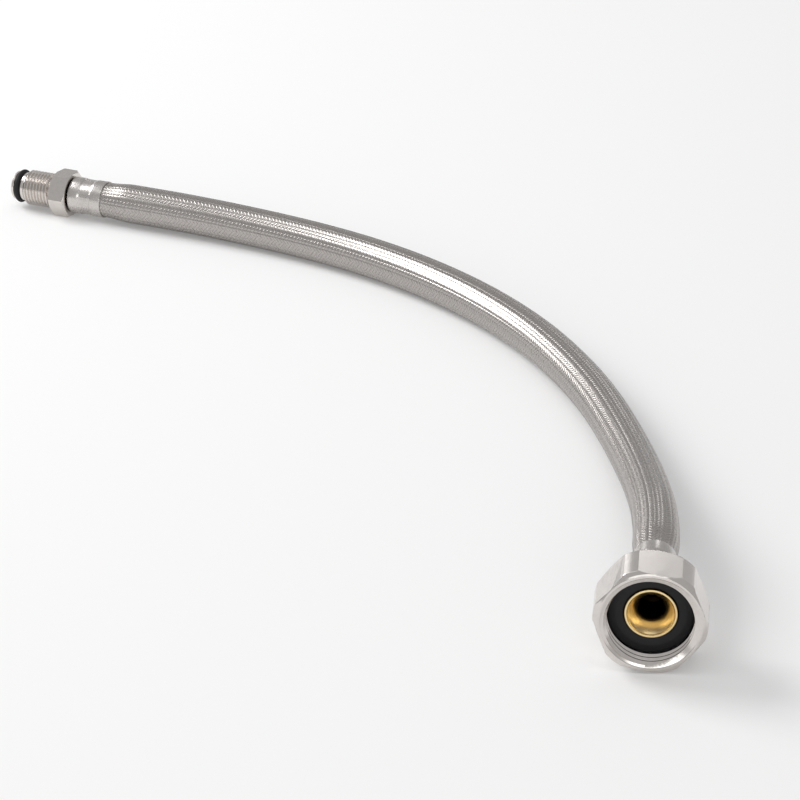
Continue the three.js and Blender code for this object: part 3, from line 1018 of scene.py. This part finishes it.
        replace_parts(insert, "nut_insert")
        return insert

    def ferrule(self, finish: DrawnSteel) -> bpy.types.Object:
        """Crimps the ferrule behind the neck and returns it."""
        place = self.place @ Matrix.Translation((0, 0, self.ferrule_front))
        ferrule = Ferrule("nut_crimp_sleeve", 14 * MM).build(place, finish)
        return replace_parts(ferrule, "nut_ferrule")


@dataclass
class StemEnd:
    """Faucet stem with hexagon, thread and nose, its O-ring and ferrule, along z from the sleeve's end."""

    start: Vector
    direction: Vector
    thread_major: float = 5 * MM
    thread_depth: float = 0.6 * MM
    thread_pitch: float = 1 * MM
    thread_length: float = 8 * MM
    flat: float = 6 * MM
    hex_length: float = 5.2 * MM
    ferrule_length: float = 10.5 * MM
    nose: float = 4.1 * MM
    ring: float = 0.75 * MM

    def __post_init__(self) -> None:
        """Works out the places that follow from the sizes."""
        self.place = axis_place(self.start, self.direction)
        self.hex_start = 0.6 * MM + self.ferrule_length
        self.hex_end = self.hex_start + self.hex_length
        self.thread_start = self.hex_end + 1.2 * MM
        self.thread_end = self.thread_start + self.thread_length
        self.tip = self.thread_end + 4.2 * MM
        self.groove = self.thread_end + 1.1 * MM
        self.groove_radius = self.nose - self.ring * 1.4

    def stem(self, finish: PlatedNickel) -> bpy.types.Object:
        """Turns the stem, joins its hexagon and cuts its thread.

        Args:
            finish: The stem's plating.

        Returns:
            The stem.
        """
        root, tail, bore = self.thread_major - self.thread_depth, 2.65 * MM, 2 * MM
        barbs, tooth = [], self.hex_start - 1.9 * MM
        while tooth - 2.4 * MM > 1.3 * MM:
            barbs += [(tail + 0.3 * MM, tooth - 0.25 * MM, 0), (tail, tooth - 2.4 * MM, 0)]
            tooth -= 2.4 * MM
        outline = rounded([
            (bore, 1.3 * MM, 0.1 * MM), (tail, 1.3 * MM, 0.1 * MM), *reversed(barbs[:-1]),
            (tail, self.hex_start - 1.9 * MM, 0), (tail, self.hex_start - 0.1 * MM, 0),
            (root, self.hex_start + 0.3 * MM, 0), (root, self.thread_start - 0.4 * MM, 0.1 * MM),
            (self.thread_major, self.thread_start, 0.05 * MM),
            (self.thread_major, self.thread_end - 0.6 * MM, 0.05 * MM), (root, self.thread_end, 0.05 * MM),
            (self.nose, self.thread_end + 0.1 * MM, 0.05 * MM), (self.nose, self.groove, 0.1 * MM),
            (self.groove_radius, self.groove, 0.1 * MM), (self.groove_radius, self.groove + 2.1 * MM, 0.1 * MM),
            (self.nose, self.groove + 2.1 * MM, 0.1 * MM), (self.nose, self.tip - 0.4 * MM, 0.1 * MM),
            (self.nose - 0.4 * MM, self.tip, 0.1 * MM), (bore + 0.5 * MM, self.tip, 0.1 * MM),
            (bore, self.tip - 0.5 * MM, 0.1 * MM),
        ])
        stem = Bench.turn("threaded_stem", outline, 96)
        corner = self.flat / math.cos(math.pi / 6)
        hexagon = Bench.turn("hexagon", rounded([
            (root - 0.8 * MM, self.hex_start, 0), (corner - 0.9 * MM, self.hex_start, 0.1 * MM),
            (corner, self.hex_start + 0.5 * MM, 0.1 * MM), (corner, self.hex_end - 0.5 * MM, 0.1 * MM),
            (corner - 0.9 * MM, self.hex_end, 0.1 * MM), (root - 0.8 * MM, self.hex_end, 0),
        ]), 96)
        Bench.cut_flats(hexagon, self.flat, 0.1 * MM)
        Bench.combine(stem, hexagon, "UNION")
        half, tip = self.thread_pitch * 0.44, self.thread_pitch * 0.06
        section = [
            (root, -tip), (root, tip), (self.thread_major + 0.1 * MM, half), (self.thread_major + 0.1 * MM, -half),
        ]
        turns = round((self.thread_length + 0.2 * MM) / self.thread_pitch)
        bar = Bench.thread_bar(section, self.thread_pitch, self.thread_start - 0.3 * MM, turns, 48)
        Bench.combine(stem, bar, "DIFFERENCE")
        Bench.finish(stem, self.place, 32, even=True)
        dress(stem, finish)
        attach(stem, "line")
        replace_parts(stem, "faucet_stem")
        return stem

    def o_ring(self, finish: Rubber) -> bpy.types.Object:
        """Turns the O-ring, with the fine flash line that its mould leaves.

        Args:
            finish: The ring's rubber.

        Returns:
            The O-ring.
        """
        middle, mean = self.groove + 1.05 * MM, self.groove_radius + 0.2 * MM + self.ring
        section = []
        sides = 28
        for side in range(sides):
            angle = 2 * math.pi * side / sides
            flash = 0.02 * MM if side == 0 else 0.0
            section.append((mean + (self.ring + flash) * math.cos(angle), middle + self.ring * math.sin(angle)))
        ring = Bench.turn("nose_ring", section, 96)
        Bench.finish(ring, self.place, 60)
        dress(ring, finish)
        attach(ring, "line")
        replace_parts(ring, "stem_o_ring")
        return ring

    def ferrule(self, finish: DrawnSteel) -> bpy.types.Object:
        """Crimps the ferrule between the sleeve and the hexagon and returns it."""
        face_hose = Matrix.Translation((0, 0, 0.3 * MM + self.ferrule_length)) @ Matrix.Rotation(math.pi, 4, "X")
        ferrule = Ferrule("stem_crimp_sleeve", self.ferrule_length).build(self.place @ face_hose, finish)
        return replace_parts(ferrule, "stem_ferrule")


# ---------------------------------------------------------------- studio


@dataclass(frozen=True)
class Softbox:
    """A rectangular lamp that faces a spot on the floor."""

    name: str
    azimuth: float
    elevation: float
    distance: float
    size: tuple[float, float]
    radiance: float
    spin: float = 0.0
    colour: Colour = (1.0, 1.0, 1.0)

    def hang(self, target: Vector) -> None:
        """Hangs the lamp.

        Args:
            target: The spot that it faces.
        """
        turn, tilt = math.radians(self.azimuth), math.radians(self.elevation)
        away = Vector((math.sin(turn) * math.cos(tilt), math.cos(turn) * math.cos(tilt), math.sin(tilt)))
        lamp = bpy.data.lights.new(self.name, "AREA")
        lamp.shape = "RECTANGLE"
        lamp.size, lamp.size_y = self.size
        lamp.energy = self.radiance * math.pi * self.size[0] * self.size[1]
        lamp.color = self.colour
        holder = bpy.data.objects.new(self.name, lamp)
        holder.location = target + away * self.distance
        facing = (-away).to_track_quat("-Z", "Y").to_matrix().to_4x4()
        holder.rotation_euler = (facing @ Matrix.Rotation(math.radians(self.spin), 4, "Z")).to_euler()
        bpy.context.scene.collection.objects.link(holder)


@dataclass
class Studio:
    """Pale floor, softboxes, surrounding light and camera."""

    floor_size: float = 6.0
    floor_colour: Colour = (0.8, 0.8, 0.8)
    floor_glow: float = 0.12
    room_light: float = 0.5
    lens: float = 182.25
    camera_place: Vector = field(default_factory=lambda: Vector((0.103485, -0.942739, 0.424188)))
    camera_turn: tuple[float, float, float] = (66.0, 0.0, 5.0)
    lamps: tuple[Softbox, ...] = (
        Softbox("overhead", 190, 72, 1.2, (1.3, 0.45), 0.95),
        Softbox("front", 185, 17, 1.5, (1.6, 0.5), 1.9),
        Softbox("rear_left", -65, 36, 1.4, (0.7, 0.7), 8.5),
        Softbox("rear_strip", 9, 22, 1.5, (0.12, 0.4), 1.8),
        Softbox("rear_low", -20, 13, 1.5, (0.2, 0.3), 1.2),
    )

    def floor(self) -> None:
        """Lays the floor, which glows a little so that it reads white around the shadow."""
        Bench.start()
        bpy.ops.mesh.primitive_plane_add(size=self.floor_size)
        floor = bpy.context.active_object
        floor.name = "floor"
        sheet = Sheet("floor")
        sheet.set(Base_Color=(*self.floor_colour, 1), Roughness=0.9, Specular_IOR_Level=0.0)
        ray = sheet.node("ShaderNodeLightPath")
        seen = sheet.node("ShaderNodeMath", operation="ADD", use_clamp=True)
        both = sheet.node("ShaderNodeMath", operation="ADD", use_clamp=True)
        glow = sheet.node("ShaderNodeMath", operation="MULTIPLY")
        sheet.link(ray.outputs["Is Camera Ray"], seen.inputs[0])
        sheet.link(ray.outputs["Is Glossy Ray"], seen.inputs[1])
        sheet.link(seen.outputs[0], both.inputs[0])
        sheet.link(ray.outputs["Is Transmission Ray"], both.inputs[1])
        sheet.link(both.outputs[0], glow.inputs[0])
        glow.inputs[1].default_value = self.floor_glow
        sheet.set(Emission_Color=(1, 1, 1, 1))
        sheet.link(glow.outputs[0], sheet.shader.inputs["Emission Strength"])
        floor.data.materials.append(sheet.material)

    def room(self) -> None:
        """Surrounds the set with an even grey light."""
        world = bpy.data.worlds.new("room")
        world.use_nodes = True
        background = world.node_tree.nodes["Background"]
        background.inputs["Color"].default_value = (1, 1, 1, 1)
        background.inputs["Strength"].default_value = self.room_light
        bpy.context.scene.world = world

    def camera(self) -> None:
        """Sets the camera up."""
        data = bpy.data.cameras.new("camera")
        data.lens = self.lens
        data.clip_start, data.clip_end = 0.05, 20.0
        camera = bpy.data.objects.new("camera", data)
        camera.location = self.camera_place
        camera.rotation_euler = [math.radians(angle) for angle in self.camera_turn]
        bpy.context.scene.collection.objects.link(camera)
        bpy.context.scene.camera = camera

    def build(self) -> None:
        """Sets up the floor, the lamps, the surrounding light and the camera."""
        self.floor()
        self.room()
        for lamp in self.lamps:
            lamp.hang(Vector((0.0, 0.0, 0.0)))
        self.camera()
        bpy.context.scene.view_settings.view_transform = "Standard"


# ---------------------------------------------------------------- assembly


def main() -> None:
    """Builds the line and its studio, and reports each piece."""
    logging.basicConfig(level=logging.INFO, format="%(name)s %(message)s")
    Studio().build()
    route = Route(ROUTE)
    hose = Hose(route)
    liner_rubber = Rubber("liner_rubber", roughness=(0.6, 0.8), skin=900.0)
    liner = hose.liner(liner_rubber)
    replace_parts(liner, "inner_tube")
    sleeve = hose.braid(BraidWire())
    for piece in sleeve:
        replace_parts(piece, "wire_braid")

    insert_low, insert_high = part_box("nut_insert")
    axis = (insert_low + insert_high) / 2
    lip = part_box("coupling_nut")[0].y
    nut_end = NutEnd(Vector((axis.x, lip, axis.z)))
    nickel, steel, washer_rubber = PlatedNickel(), DrawnSteel(), Rubber("moulded_rubber")
    nut_end.nut(nickel)
    nut_end.washer(washer_rubber)
    nut_end.insert(TurnedBrass(centre=nut_end.lip_centre))
    nut_sleeve = nut_end.ferrule(steel)

    stem_end = StemEnd(*route.end())
    stem_sleeve = stem_end.ferrule(steel)
    stem_end.stem(nickel)
    stem_end.o_ring(washer_rubber)

    dress(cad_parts["retaining_ring"], SpringWire())

    log.info("hose: %.1f mm free", route.length / MM)


if __name__ == "__main__":
    main()
